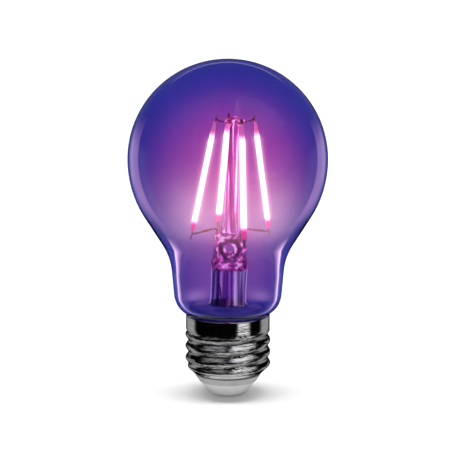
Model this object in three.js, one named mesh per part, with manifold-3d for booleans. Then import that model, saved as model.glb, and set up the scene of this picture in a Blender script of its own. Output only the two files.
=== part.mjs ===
// LED filament lamp with an E26 screw cap: clear tinted envelope, leaning glass mount with
// four filament strips, and a cap that holds the driver and its radio module.
// Millimetres, +Z up; z = 0 is the flat face of the centre contact, the axis is x = y = 0.
import * as THREE from "three";
import { ParametricGeometry } from "three/addons/geometries/ParametricGeometry.js";
import { mergeVertices } from "three/addons/utils/BufferGeometryUtils.js";
import Module from "manifold-3d";

const wasm = await Module();
wasm.setup();

// ---- driving dimensions -------------------------------------------------------------
const GLOBE_RADIUS = 30.15;
const GLOBE_RISE = 47.5; // from the cap rim to the middle of the globe
const NECK_LENGTH = 17.9; // from the cap rim to the knee between neck and cone
const GLASS_WALL = 0.9;
const CREST_RADIUS = 12.95; // screw thread, over the crests
const THREAD_DEPTH = 0.9;
const THREAD_PITCH = 3.63;
const SHELL_WALL = 0.3;
const RIM_Z = 25; // upper edge of the screw shell
const STEM_LEAN = THREE.MathUtils.degToRad(2.2); // the mount stands slightly off the axis
const FILAMENT_COUNT = 4;
const FILAMENT_PHASE = THREE.MathUtils.degToRad(18.5);
const FILAMENT_FOOT_RADIUS = 12.3; // where the coat ends, from the axis of the mount
const FILAMENT_HEAD_RADIUS = 6.3;
const FILAMENT_LENGTH = 34.4; // of the coated part
const WIRE_DIAMETER = 0.5;

// ---- clearances ---------------------------------------------------------------------
const GAP = 0.3;
const BOND_GAP = 0.15; // silicone coat round the filament strip

// ---- screw cap ----------------------------------------------------------------------
const ROOT_RADIUS = CREST_RADIUS - THREAD_DEPTH;
const SKIRT_RADIUS = CREST_RADIUS - 0.2;
const THREAD_TOP_Z = RIM_Z - 5;
const THREAD_PHASE_Z = RIM_Z - 11.765; // height of a crest on the +X side
const THREAD_FOOT_Z = 9; // below it the shell rolls inwards
const SHELL_FOOT_Z = 6.9;
const SHELL_FOOT_RADIUS = ROOT_RADIUS - 1.65;
const CEMENT_WALL = 0.7;

// ---- insulator and contact ----------------------------------------------------------
const COLLAR_RADIUS = SHELL_FOOT_RADIUS - SHELL_WALL - GAP;
const COLLAR_TOP_Z = 8.6;
const INSULATOR_WALL = 1.5;
const CONTACT_RADIUS = 3.9;
const CONTACT_THICKNESS = 0.8;
const CONTACT_PIN_RADIUS = 1.6;
const CONTACT_PIN_TOP_Z = 2.4;

// ---- glass envelope -----------------------------------------------------------------
const GLOBE_Z = RIM_Z + GLOBE_RISE;
const LAMP_HEIGHT = GLOBE_Z + GLOBE_RADIUS;
const KNEE_Z = RIM_Z + NECK_LENGTH;
const KNEE_BLEND = 4.6; // how far the fillet at the knee reaches down the neck
const CONE_BLEND = 0.33; // part of the cone that the same fillet takes up
const GLOBE_DROP = GLOBE_Z - KNEE_Z + 1.9; // lower half of the globe, vertical half axis
const NECK_RADIUS = SKIRT_RADIUS + 3.55;
const NECK_TAPER = 0.09; // growth of the neck radius per mm of height
const NECK_FOOT_Z = RIM_Z + 5.5;
const TUCK_RADIUS = SKIRT_RADIUS - SHELL_WALL - CEMENT_WALL - 2 * GAP;
const TUCK_TOP_Z = RIM_Z - 1.2;
const TUCK_FOOT_Z = TUCK_TOP_Z - 4;

// ---- mount inside the envelope, measured along its own axis --------------------------
const FLARE_FOOT_Z = RIM_Z + 1.9;
const FLARE_FOOT_RADIUS = SKIRT_RADIUS - GLASS_WALL - 0.85;
const FLARE_WALL = 0.8;
const FLARE_HEIGHT = 12.8;
const FLARE_TUBE_RADIUS = 5.5;
const FLARE_TOP_Z = FLARE_FOOT_Z + FLARE_HEIGHT;
const PRESS_HEIGHT = 10;
const PRESS_FOOT_Z = FLARE_TOP_Z + GAP;
const PRESS_TOP_Z = PRESS_FOOT_Z + PRESS_HEIGHT;
const PRESS_HALF_WIDTH = 5;
const PRESS_THICKNESS = 4;
const PRESS_SHOULDER = 1.2;
const BLOW_HOLE_RADIUS = 1.4;
const SOCKET_DEPTH = 1.5; // how far a wire goes into the press or the bead
const POST_FOOT_RADIUS = 1.8;
const POST_HEAD_RADIUS = 1.3;
const EXHAUST_RADIUS = 1.9;
const EXHAUST_WALL = 0.7;
const LEAD_SPREAD = 3.4; // lead wires in the press, from its middle
// Where each lower support wire goes into the top of the press, [x, y].
const SUPPORT_SEATS = [
  [4.1, 0],
  [-2.8, 0.9],
  [-4, 0],
  [2.9, -0.9],
];

// ---- filaments ----------------------------------------------------------------------
const FILAMENT_LEAN_IN = FILAMENT_FOOT_RADIUS - FILAMENT_HEAD_RADIUS;
const FILAMENT_FOOT_Z = PRESS_TOP_Z + 0.4;
const FILAMENT_HEAD_Z = FILAMENT_FOOT_Z + Math.sqrt(FILAMENT_LENGTH ** 2 - FILAMENT_LEAN_IN ** 2);
const COAT_WIDTH = 1.8;
const COAT_THICKNESS = 1.5;
const STRIP_WIDTH = 0.7;
const STRIP_THICKNESS = 0.2;
const FOOT_TAB_LENGTH = 2.2; // the part of a tab that shows below the coat
const HEAD_TAB_LENGTH = 1.4;
const TAB_OVERLAP = 1.2; // the part of a tab that is held in the coat
const BEAD_Z = FILAMENT_HEAD_Z + 0.55;
const BEAD_RADIUS = 2.8;
const BEAD_HALF_HEIGHT = 1.7;

// ---- driver in the cap --------------------------------------------------------------
const BOARD_RADIUS = ROOT_RADIUS - SHELL_WALL - 2.45;
const BOARD_THICKNESS = 1;
const BOARD_FOOT_Z = COLLAR_TOP_Z + GAP;
const BOARD_TOP_Z = BOARD_FOOT_Z + BOARD_THICKNESS;
const PARTS_Z = BOARD_TOP_Z + GAP; // what stands on the board starts here
const EXHAUST_TIP_Z = BOARD_TOP_Z + 4;
// The plan below is drawn for a board of LAYOUT_RADIUS. The exhaust tip and the lead wires keep
// the core; what stands outside it moves with the real board's edge.
const LAYOUT_RADIUS = 9.3;
const CORE_RADIUS = 3;
const RADIO_BOARD = { size: [8, 0.8, 8.8], place: [0, 6] };
const BOARD_BLOCKS = [
  { name: "bridge_rectifier", material: "plastic", size: [3.9, 3.9, 1.8], place: [5.4, -3.5] },
  { name: "driver_ic", material: "plastic", size: [3.9, 3.9, 1.5], place: [5.6, 2.4] },
  { name: "radio_board", material: "moduleBoard", ...RADIO_BOARD },
  { name: "radio_shield", material: "nickel", size: [6, 1.3, 4.8], place: [0, 7.4], lift: 1.5 },
  {
    name: "radio_antenna",
    material: "copper",
    size: [3.4, 0.5, 3.8],
    place: RADIO_BOARD.place,
    lift: RADIO_BOARD.size[2] + GAP,
  },
];
const BOARD_CANS = [
  { name: "smoothing_capacitor", material: "sleeve", radius: 3.1, height: 8, place: [-6.1, -1.5] },
  { name: "inductor", material: "copper", radius: 1.9, height: 4.5, place: [0.4, -6.3] },
];
const RESISTOR = { radius: 1.1, length: 5.4, place: 4.2 };
const SOLDER_HEIGHT = 0.8;
const SHELL_SOLDER_RADIUS = 0.7;

// ---- materials ----------------------------------------------------------------------
const paint = (color, roughness, metalness) =>
  new THREE.MeshStandardMaterial({ color, roughness, metalness });
const materials = {
  tintedGlass: paint(0x2b1f9c, 0.05, 0),
  clearGlass: paint(0x9a86d8, 0.1, 0),
  nickel: paint(0xb9bcc0, 0.18, 1),
  contactMetal: paint(0xb8a98a, 0.35, 1),
  solder: paint(0xb4b6b8, 0.4, 1),
  wireMetal: paint(0x8d8f98, 0.3, 1),
  copper: paint(0xb56a3c, 0.3, 1),
  insulator: paint(0xd2d2d0, 0.35, 0),
  cement: paint(0xd8cfb8, 0.9, 0),
  phosphor: paint(0xf08ad8, 0.6, 0),
  ceramic: paint(0xe8e4ea, 0.5, 0),
  board: paint(0x1f6a3c, 0.5, 0),
  moduleBoard: paint(0x1c2a6a, 0.5, 0),
  plastic: paint(0x1c1c1e, 0.5, 0),
  sleeve: paint(0x2c2c34, 0.45, 0),
  enamel: paint(0x9fb9c8, 0.5, 0),
};

// ---- shape helpers ------------------------------------------------------------------
const at = (x, y, z) => new THREE.Vector3(x, y, z);
const polar = (radius, angle, z) => at(radius * Math.cos(angle), radius * Math.sin(angle), z);

// 0 below low, 1 above high, a straight ramp between them.
const ramp = (value, low, high) => THREE.MathUtils.clamp((value - low) / (high - low), 0, 1);

function piece(name, geometry, material) {
  const mesh = new THREE.Mesh(geometry, materials[material]);
  mesh.name = name;
  return mesh;
}

// Turns a profile of [radius, z] points round the axis; the outer side runs upwards.
function turned(profile, segments) {
  const points = profile.map(([radius, z]) => new THREE.Vector2(radius, z));
  return new THREE.LatheGeometry(points, segments).rotateX(Math.PI / 2);
}

function turnedRing(profile, segments) {
  return turned([...profile, profile[0]], segments);
}

function rod(from, to, radius, sides = 12, headRadius = radius) {
  const along = to.clone().sub(from);
  const turn = new THREE.Quaternion().setFromUnitVectors(at(0, 1, 0), along.clone().normalize());
  const middle = from.clone().add(to).divideScalar(2);
  return new THREE.CylinderGeometry(headRadius, radius, along.length(), sides)
    .applyQuaternion(turn)
    .translate(middle.x, middle.y, middle.z);
}

function wire(points, diameter = WIRE_DIAMETER, steps = 9) {
  const section = new THREE.Shape().absarc(0, 0, diameter / 2, 0, 2 * Math.PI);
  const extrudePath = new THREE.CatmullRomCurve3(points, false, "centripetal");
  return new THREE.ExtrudeGeometry(section, { steps, extrudePath, curveSegments: 3 });
}

function block(width, depth, height, x, y, footZ) {
  return new THREE.BoxGeometry(width, depth, height).translate(x, y, footZ + height / 2);
}

function solidOf(geometry) {
  const bare = geometry.clone();
  bare.deleteAttribute("normal");
  bare.deleteAttribute("uv");
  const merged = mergeVertices(bare, 1e-4);
  return new wasm.Manifold(
    new wasm.Mesh({
      numProp: 3,
      vertProperties: merged.attributes.position.array,
      triVerts: new Uint32Array(merged.index.array),
    }),
  );
}

function cut(geometry, cutters) {
  const left = cutters.reduce((solid, cutter) => solid.subtract(solidOf(cutter)), solidOf(geometry));
  const mesh = left.getMesh();
  const result = new THREE.BufferGeometry();
  result.setAttribute("position", new THREE.BufferAttribute(mesh.vertProperties, 3));
  result.setIndex(new THREE.BufferAttribute(mesh.triVerts, 1));
  result.computeVertexNormals();
  return result;
}

// The hole for a wire end: it starts a gap behind the end and runs out past the surface.
function socket(end, outwards) {
  const from = end.clone().addScaledVector(outwards, -GAP);
  const to = end.clone().addScaledVector(outwards, 2 * SOCKET_DEPTH);
  return rod(from, to, WIRE_DIAMETER / 2 + GAP, 8);
}

// ---- glass envelope -----------------------------------------------------------------
const neckRadiusAt = (z) => NECK_RADIUS + NECK_TAPER * (z - NECK_FOOT_Z);

// The outer line of the glass, from the end inside the cap up to the crown.
function envelopeLine() {
  const knee = new THREE.Vector2(neckRadiusAt(KNEE_Z), KNEE_Z);
  const kneeDrop = ((knee.y - GLOBE_Z) * GLOBE_RADIUS) / GLOBE_DROP;
  const reach = Math.acos(GLOBE_RADIUS / Math.hypot(knee.x, kneeDrop));
  const tangent = Math.atan2(kneeDrop, knee.x) + reach; // where the cone leaves the globe
  const coneTop = new THREE.Vector2(
    GLOBE_RADIUS * Math.cos(tangent),
    GLOBE_Z + GLOBE_DROP * Math.sin(tangent),
  );
  const coneFoot = knee.clone().lerp(coneTop, CONE_BLEND);
  const neckTopZ = KNEE_Z - KNEE_BLEND;
  return new THREE.Path()
    .moveTo(TUCK_RADIUS, TUCK_FOOT_Z)
    .lineTo(TUCK_RADIUS, TUCK_TOP_Z)
    .lineTo(SKIRT_RADIUS - 0.85, RIM_Z + 0.1)
    .lineTo(SKIRT_RADIUS + 0.15, RIM_Z + 0.55)
    .quadraticCurveTo(NECK_RADIUS - 0.7, RIM_Z + 1.9, NECK_RADIUS, NECK_FOOT_Z)
    .lineTo(neckRadiusAt(neckTopZ), neckTopZ)
    .quadraticCurveTo(knee.x, knee.y, coneFoot.x, coneFoot.y)
    .absellipse(0, GLOBE_Z, GLOBE_RADIUS, GLOBE_DROP, tangent, 0)
    .absellipse(0, GLOBE_Z, GLOBE_RADIUS, GLOBE_RADIUS, 0, Math.PI / 2)
    .getPoints(4)
    .map((point) => [point.x, point.y]);
}

// The same line moved inwards by the wall.
function inset(line, wall) {
  return line.map(([radius, z], i) => {
    const [radiusBefore, zBefore] = line[Math.max(i - 1, 0)];
    const [radiusAfter, zAfter] = line[Math.min(i + 1, line.length - 1)];
    const run = new THREE.Vector2(radiusAfter - radiusBefore, zAfter - zBefore).normalize();
    return [radius - wall * run.y, z + wall * run.x];
  });
}

function glassEnvelope() {
  const outer = envelopeLine();
  const inner = inset(outer, GLASS_WALL);
  outer[outer.length - 1] = [0, LAMP_HEIGHT];
  inner[inner.length - 1] = [0, LAMP_HEIGHT - GLASS_WALL];
  inner[0][1] = TUCK_FOOT_Z;
  return piece("glass_envelope", turnedRing([...outer, ...inner.reverse()], 36), "tintedGlass");
}

// ---- mount --------------------------------------------------------------------------
function stemFlare() {
  const outer = [
    [FLARE_FOOT_RADIUS, FLARE_FOOT_Z],
    [FLARE_FOOT_RADIUS - 1.6, FLARE_FOOT_Z + 0.35],
    [FLARE_TUBE_RADIUS + 1.9, FLARE_FOOT_Z + 1.6],
    [FLARE_TUBE_RADIUS + 0.55, FLARE_FOOT_Z + 3.4],
    [FLARE_TUBE_RADIUS, FLARE_FOOT_Z + 6],
    [FLARE_TUBE_RADIUS, FLARE_TOP_Z],
  ];
  const inner = inset(outer, FLARE_WALL);
  inner[inner.length - 1][1] = FLARE_TOP_Z;
  return piece("stem_flare", turnedRing([...outer, ...inner.reverse()], 24), "clearGlass");
}

function stemPress(supports) {
  const shoulder = PRESS_SHOULDER;
  const middleZ = (PRESS_FOOT_Z + PRESS_TOP_Z) / 2;
  const outline = new THREE.Shape()
    .moveTo(-PRESS_HALF_WIDTH, PRESS_FOOT_Z)
    .lineTo(PRESS_HALF_WIDTH, PRESS_FOOT_Z)
    .lineTo(PRESS_HALF_WIDTH, PRESS_TOP_Z - shoulder)
    .lineTo(PRESS_HALF_WIDTH - shoulder / 3, PRESS_TOP_Z - shoulder / 3)
    .lineTo(PRESS_HALF_WIDTH - shoulder, PRESS_TOP_Z)
    .lineTo(shoulder - PRESS_HALF_WIDTH, PRESS_TOP_Z)
    .lineTo(shoulder / 3 - PRESS_HALF_WIDTH, PRESS_TOP_Z - shoulder / 3)
    .lineTo(-PRESS_HALF_WIDTH, PRESS_TOP_Z - shoulder);
  outline.holes.push(new THREE.Path().absarc(0, middleZ, BLOW_HOLE_RADIUS, 0, 2 * Math.PI));
  const body = new THREE.ExtrudeGeometry(outline, {
    depth: PRESS_THICKNESS,
    bevelEnabled: false,
    curveSegments: 6,
  })
    .rotateX(Math.PI / 2)
    .translate(0, PRESS_THICKNESS / 2, 0);
  const sockets = supports.map((points) => socket(points[0], at(0, 0, 1)));
  for (const side of [-1, 1])
    sockets.push(socket(leadStart(side), at(0, 0, -1)));
  return piece("stem_press", cut(body, sockets), "clearGlass");
}

function supportPost() {
  const foot = at(0, 0, PRESS_TOP_Z + GAP);
  const head = at(0, 0, BEAD_Z - BEAD_HALF_HEIGHT - GAP);
  return piece("support_post", rod(foot, head, POST_FOOT_RADIUS, 16, POST_HEAD_RADIUS), "clearGlass");
}

function topBead(hooks) {
  const half = new THREE.EllipseCurve(
    0, BEAD_Z, BEAD_RADIUS, BEAD_HALF_HEIGHT, -Math.PI / 2, Math.PI / 2,
  );
  const profile = half.getPoints(8).map((point) => [Math.max(point.x, 0), point.y]);
  profile[0][0] = 0;
  profile[profile.length - 1][0] = 0;
  const sockets = hooks.map(([start]) => socket(start, at(start.x, start.y, 0).normalize()));
  return piece("top_bead", cut(turned(profile, 20), sockets), "clearGlass");
}

function exhaustTube() {
  const top = PRESS_FOOT_Z - GAP;
  const bore = EXHAUST_RADIUS - EXHAUST_WALL;
  const profile = [
    [0, EXHAUST_TIP_Z],
    [0.9, EXHAUST_TIP_Z + 0.4],
    [EXHAUST_RADIUS, EXHAUST_TIP_Z + 2],
    [EXHAUST_RADIUS, top],
    [bore, top],
    [bore, EXHAUST_TIP_Z + 3],
    [0, EXHAUST_TIP_Z + 2.2],
  ];
  return piece("exhaust_tube", turned(profile, 16), "clearGlass");
}

// ---- filaments ----------------------------------------------------------------------
const filamentAngle = (index) => FILAMENT_PHASE + (index * 2 * Math.PI) / FILAMENT_COUNT;
const filamentRun = new THREE.Vector2(
  -FILAMENT_LEAN_IN,
  FILAMENT_HEAD_Z - FILAMENT_FOOT_Z,
);

// Carries a shape drawn along +Z from the foot of a coat onto filament number index.
function filamentFrame(index) {
  const angle = filamentAngle(index);
  const slope = filamentRun.clone().normalize();
  const along = polar(slope.x, angle, slope.y);
  const across = at(-Math.sin(angle), Math.cos(angle), 0);
  const through = along.clone().cross(across);
  const foot = polar(FILAMENT_FOOT_RADIUS, angle, FILAMENT_FOOT_Z);
  return new THREE.Matrix4().makeBasis(across, through, along).setPosition(foot);
}

function coatGeometry(length) {
  const section = new THREE.Shape().absellipse(
    0, 0, COAT_WIDTH / 2, COAT_THICKNESS / 2, 0, 2 * Math.PI,
  );
  const x = STRIP_WIDTH / 2 + BOND_GAP;
  const y = STRIP_THICKNESS / 2 + BOND_GAP;
  section.holes.push(new THREE.Path().moveTo(-x, -y).lineTo(-x, y).lineTo(x, y).lineTo(x, -y));
  return new THREE.ExtrudeGeometry(section, { depth: length, bevelEnabled: false, curveSegments: 7 });
}

function filament(index) {
  const length = filamentRun.length();
  const number = index + 1;
  const strip = (from, to) => block(STRIP_WIDTH, STRIP_THICKNESS, to - from, 0, 0, from);
  const group = new THREE.Group().add(
    piece(`filament_${number}_coat`, coatGeometry(length), "phosphor"),
    piece(
      `filament_${number}_strip`,
      strip(TAB_OVERLAP + GAP, length - TAB_OVERLAP - GAP),
      "ceramic",
    ),
    piece(`filament_${number}_foot_tab`, strip(-FOOT_TAB_LENGTH, TAB_OVERLAP), "wireMetal"),
    piece(
      `filament_${number}_head_tab`,
      strip(length - TAB_OVERLAP, length + HEAD_TAB_LENGTH),
      "wireMetal",
    ),
  );
  group.applyMatrix4(filamentFrame(index));
  return group;
}

// The line of a wire's middle that stops a gap short of a tab, s millimetres up the filament.
function tabPoint(index, s) {
  const slope = filamentRun.clone().normalize();
  const clear = STRIP_THICKNESS / 2 + GAP + 0.1;
  const radius = FILAMENT_FOOT_RADIUS + s * slope.x - clear;
  return polar(radius, filamentAngle(index), FILAMENT_FOOT_Z + s * slope.y);
}

function supportLine(index) {
  const [x, y] = SUPPORT_SEATS[index];
  const end = tabPoint(index, -FOOT_TAB_LENGTH / 2);
  const seat = at(x, y, PRESS_TOP_Z - SOCKET_DEPTH);
  const mouth = at(x, y, PRESS_TOP_Z + 0.3);
  const bend = mouth.clone().lerp(end, 0.1).setZ(PRESS_TOP_Z + 0.75);
  const approach = mouth.clone().lerp(end, 0.45).setZ(PRESS_TOP_Z + 0.55);
  return [seat, at(x, y, PRESS_TOP_Z - 0.4), mouth, bend, approach, end];
}

function hookLine(index) {
  const angle = filamentAngle(index);
  const end = tabPoint(index, filamentRun.length() + HEAD_TAB_LENGTH / 2);
  const start = polar(BEAD_RADIUS - SOCKET_DEPTH, angle, BEAD_Z);
  const mouth = polar(BEAD_RADIUS + 0.3, angle, BEAD_Z);
  return [start, mouth, mouth.clone().lerp(end, 0.5).setZ(BEAD_Z - 0.35), end];
}

// ---- lead wires through the stem ------------------------------------------------------
const leadStart = (side) => at(side * LEAD_SPREAD, 0, PRESS_FOOT_Z + SOCKET_DEPTH);

function leadWire(side, mountToLamp) {
  const lampToMount = mountToLamp.clone().invert();
  const pad = at(side * 2.4, -1.8, BOARD_TOP_Z + GAP).applyMatrix4(lampToMount);
  const waist = FLARE_FOOT_Z + 3;
  return wire([
    leadStart(side),
    at(side * LEAD_SPREAD, 0, PRESS_FOOT_Z - 0.6),
    at(side * 2.1, -1.8, waist),
    at(side * 2.3, -1.8, (waist + BOARD_TOP_Z) / 2),
    pad,
  ], WIRE_DIAMETER, 14);
}

function mount() {
  const group = new THREE.Group();
  const lean = new THREE.Matrix4()
    .makeTranslation(0, 0, FLARE_FOOT_Z)
    .multiply(new THREE.Matrix4().makeRotationY(STEM_LEAN))
    .multiply(new THREE.Matrix4().makeTranslation(0, 0, -FLARE_FOOT_Z));
  const numbers = [...Array(FILAMENT_COUNT).keys()];
  const supports = numbers.map(supportLine);
  const hooks = numbers.map(hookLine);
  group.add(stemFlare(), stemPress(supports), supportPost(), topBead(hooks), exhaustTube());
  for (const index of numbers)
    group.add(
      filament(index),
      piece(`support_wire_${index + 1}`, wire(supports[index]), "wireMetal"),
      piece(`hook_wire_${index + 1}`, wire(hooks[index], WIRE_DIAMETER, 6), "wireMetal"),
    );
  group.add(
    piece("lead_wire_left", leadWire(-1, lean), "wireMetal"),
    piece("lead_wire_right", leadWire(1, lean), "wireMetal"),
  );
  group.applyMatrix4(lean);
  return group;
}

// ---- screw cap ----------------------------------------------------------------------
// Outer radius of the shell at a height and a turn (0 to 1) round the axis: right-hand thread.
function shellRadius(z, turn) {
  const wave = 0.5 + 0.5 * Math.cos(2 * Math.PI * ((z - THREAD_PHASE_Z) / THREAD_PITCH - turn));
  const roll = 1 - ramp(z, SHELL_FOOT_Z, THREAD_FOOT_Z);
  const root = ROOT_RADIUS - (ROOT_RADIUS - SHELL_FOOT_RADIUS) * roll ** 1.6;
  const threaded = root + THREAD_DEPTH * wave * ramp(z, SHELL_FOOT_Z + 0.6, THREAD_FOOT_Z + 0.8);
  return THREE.MathUtils.lerp(threaded, SKIRT_RADIUS, ramp(z, THREAD_TOP_Z - 0.3, THREAD_TOP_Z + 0.4));
}

function screwShell() {
  const threadSteps = 18;
  const threadEndZ = THREAD_TOP_Z + 0.4;
  const levels = [];
  for (let i = 0; i <= threadSteps; i++)
    levels.push(THREE.MathUtils.lerp(SHELL_FOOT_Z, threadEndZ, i / threadSteps));
  levels.push((threadEndZ + RIM_Z) / 2, RIM_Z);
  const count = levels.length;
  const place = (u, v, target) => {
    const step = Math.round(u * 2 * count) % (2 * count);
    const turn = 1 - v;
    const outside = step < count;
    const z = levels[outside ? step : 2 * count - 1 - step];
    const radius = shellRadius(z, turn) - (outside ? 0 : SHELL_WALL);
    target.copy(polar(radius, 2 * Math.PI * turn, z));
  };
  return piece("screw_shell", new ParametricGeometry(place, 2 * count, 36), "nickel");
}

function basingCement() {
  const inner = TUCK_RADIUS + GAP;
  const outer = inner + CEMENT_WALL;
  const foot = THREAD_TOP_Z + 0.8;
  const top = TUCK_TOP_Z - GAP;
  const profile = [[inner, foot], [outer, foot], [outer, top], [inner, top]];
  return piece("basing_cement", turnedRing(profile, 32), "cement");
}

function capInsulator() {
  const seat = CONTACT_RADIUS + GAP;
  const seatTop = CONTACT_THICKNESS + GAP;
  const hole = CONTACT_PIN_RADIUS + GAP;
  const brim = COLLAR_RADIUS + 0.4;
  const profile = [
    [hole, seatTop],
    [seat, seatTop],
    [seat, 0.3],
    [seat + 0.7, 0.3],
    [seat + 0.45 * (brim - seat) - 0.7, 1.1],
    [seat + 0.6 * (brim - seat) - 0.7, 2.4],
    [seat + 0.75 * (brim - seat) - 0.6, 3.7],
    [brim - 1.45, 4.35],
    [brim - 1.25, 4.5],
    [brim, 6.5],
    [COLLAR_RADIUS, SHELL_FOOT_Z - 0.3],
    [COLLAR_RADIUS, COLLAR_TOP_Z],
    [COLLAR_RADIUS - INSULATOR_WALL, COLLAR_TOP_Z],
    [COLLAR_RADIUS - INSULATOR_WALL, 5.6],
    [seat + 0.8, 2.7],
    [hole, 2.4],
  ];
  return piece("cap_insulator", turnedRing(profile, 32), "insulator");
}

function centreContact() {
  const profile = [
    [0, 0],
    [CONTACT_RADIUS - 0.3, 0],
    [CONTACT_RADIUS, 0.3],
    [CONTACT_RADIUS, CONTACT_THICKNESS],
    [CONTACT_PIN_RADIUS, CONTACT_THICKNESS],
    [CONTACT_PIN_RADIUS, CONTACT_PIN_TOP_Z],
    [0, CONTACT_PIN_TOP_Z],
  ];
  return piece("centre_contact", turned(profile, 24), "contactMetal");
}

function solderDome(name, radius, foot) {
  const dome = new THREE.EllipseCurve(0, 0, radius, SOLDER_HEIGHT, 0, Math.PI / 2).getPoints(4);
  const profile = [[0, 0], ...dome.map((point) => [point.x, point.y])];
  profile[profile.length - 1][0] = 0;
  return piece(name, turned(profile, 12).translate(foot.x, foot.y, foot.z), "solder");
}

// ---- driver and radio module ----------------------------------------------------------
const reach = (BOARD_RADIUS - CORE_RADIUS) / (LAYOUT_RADIUS - CORE_RADIUS);

// Takes a distance from the middle of the plan to the same place on the real board.
function onBoard(distance) {
  const beyond = Math.max(Math.abs(distance) - CORE_RADIUS, 0);
  return distance + Math.sign(distance) * beyond * (reach - 1);
}

function boardBlock({ name, material, size, place, lift = 0 }) {
  const [width, depth, height] = size;
  const [x, y] = place;
  const [left, right] = [x - width / 2, x + width / 2].map(onBoard);
  const [front, back] = [y - depth / 2, y + depth / 2].map(onBoard);
  const middle = [(left + right) / 2, (front + back) / 2];
  return piece(name, block(right - left, back - front, height, ...middle, PARTS_Z + lift), material);
}

function boardCan({ name, material, radius, height, place }) {
  const foot = at(onBoard(place[0]), onBoard(place[1]), PARTS_Z);
  return piece(name, rod(foot, foot.clone().setZ(PARTS_Z + height), radius * reach, 16), material);
}

function driver() {
  const board = rod(at(0, 0, BOARD_FOOT_Z), at(0, 0, BOARD_TOP_Z), BOARD_RADIUS, 32);
  const jointRadius = ROOT_RADIUS - SHELL_WALL - GAP - SHELL_SOLDER_RADIUS;
  const joint = polar(jointRadius, -Math.PI / 3, PARTS_Z + 4);
  const shellSolderFoot = joint.clone().setZ(joint.z + 1.5 * GAP);
  return new THREE.Group().add(
    piece("driver_board", board, "board"),
    ...BOARD_BLOCKS.map(boardBlock),
    ...BOARD_CANS.map(boardCan),
    piece("fusible_resistor", fusibleResistor(), "enamel"),
    piece("live_wire", liveWire(), "wireMetal"),
    piece("neutral_wire", neutralWire(joint), "wireMetal"),
    solderDome("contact_solder", 1, at(0, 0, CONTACT_PIN_TOP_Z + GAP)),
    solderDome("shell_solder", SHELL_SOLDER_RADIUS, shellSolderFoot),
  );
}

function fusibleResistor() {
  const middle = at(onBoard(RESISTOR.place), 0, BOARD_FOOT_Z - GAP - RESISTOR.radius);
  const half = at(0, RESISTOR.length / 2, 0);
  return rod(middle.clone().sub(half), middle.clone().add(half), RESISTOR.radius, 12);
}

// From the solder on the contact's pin up to the underside of the board.
function liveWire() {
  const foot = CONTACT_PIN_TOP_Z + SOLDER_HEIGHT + 2 * GAP;
  const top = BOARD_FOOT_Z - GAP;
  return wire([at(0, 0, foot), at(0.3, 0, (2 * foot + top) / 3), at(-1, 0, top)]);
}

// From the board out to the solder beside the shell.
function neutralWire(joint) {
  const pad = joint.clone().multiplyScalar(0.84).setZ(PARTS_Z);
  return wire([pad, pad.clone().setZ(PARTS_Z + 1.6), joint]);
}

// ---- the lamp -------------------------------------------------------------------------
const lamp = new THREE.Group();
lamp.name = "filament_lamp";
lamp.add(
  glassEnvelope(),
  mount(),
  screwShell(),
  basingCement(),
  capInsulator(),
  centreContact(),
  driver(),
);

export default lamp;
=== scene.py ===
import math

import bmesh
import bpy
from mathutils import Matrix, Vector, noise


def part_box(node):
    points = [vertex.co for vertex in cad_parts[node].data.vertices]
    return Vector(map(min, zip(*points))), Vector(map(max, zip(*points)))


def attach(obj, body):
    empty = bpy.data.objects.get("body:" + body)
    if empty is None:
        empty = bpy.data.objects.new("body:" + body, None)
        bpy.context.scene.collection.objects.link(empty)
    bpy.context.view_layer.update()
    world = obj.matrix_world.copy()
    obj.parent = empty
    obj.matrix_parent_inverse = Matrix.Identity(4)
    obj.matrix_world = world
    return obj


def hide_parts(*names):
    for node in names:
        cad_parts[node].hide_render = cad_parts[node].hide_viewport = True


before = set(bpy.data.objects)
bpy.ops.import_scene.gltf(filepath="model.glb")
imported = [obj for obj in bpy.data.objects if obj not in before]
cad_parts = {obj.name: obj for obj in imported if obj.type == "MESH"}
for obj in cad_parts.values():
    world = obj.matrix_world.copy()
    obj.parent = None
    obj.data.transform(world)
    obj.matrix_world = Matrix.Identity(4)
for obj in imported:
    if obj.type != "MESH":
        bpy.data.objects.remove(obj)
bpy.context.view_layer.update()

# one seed, so that glass worked by hand is uneven in the same way each time
noise.seed_set(1)

MM = 0.001

# ---- sizes in millimetres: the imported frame's boxes, and the part's own values ----------------


def box_mm(node):
    low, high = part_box(node)
    return low / MM, high / MM


glass_low, glass_high = box_mm("glass_envelope")
shell_low, shell_high = box_mm("screw_shell")

# cap
RIM_Z = shell_high.z
SHELL_FOOT_Z = shell_low.z
SHELL_WALL = 0.3
CREST_RADIUS = 12.95
THREAD_DEPTH = 0.9
THREAD_PITCH = 3.63
ROOT_RADIUS = CREST_RADIUS - THREAD_DEPTH
THREAD_DROP = 11.765  # from the rim down to a crest, on the +X side
SKIRT_RADIUS = CREST_RADIUS - 0.2
SKIRT_FOOT_Z = RIM_Z - 3.5

# glass envelope
GLOBE_RADIUS = (glass_high.x - glass_low.x) / 2
GLOBE_Z = glass_high.z - GLOBE_RADIUS
TUCK_RADIUS = 11.15
NECK_RADIUS = SKIRT_RADIUS + 3.55
NECK_FOOT_Z = RIM_Z + 5.5
NECK_TAPER = 0.09
KNEE_Z = RIM_Z + 17.9
GLOBE_DROP = GLOBE_Z - KNEE_Z + 1.9
GAS_FLOOR_Z = RIM_Z + 2.8
GAS_GAP = 0.06
GLOW_Z = 66.0

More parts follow.
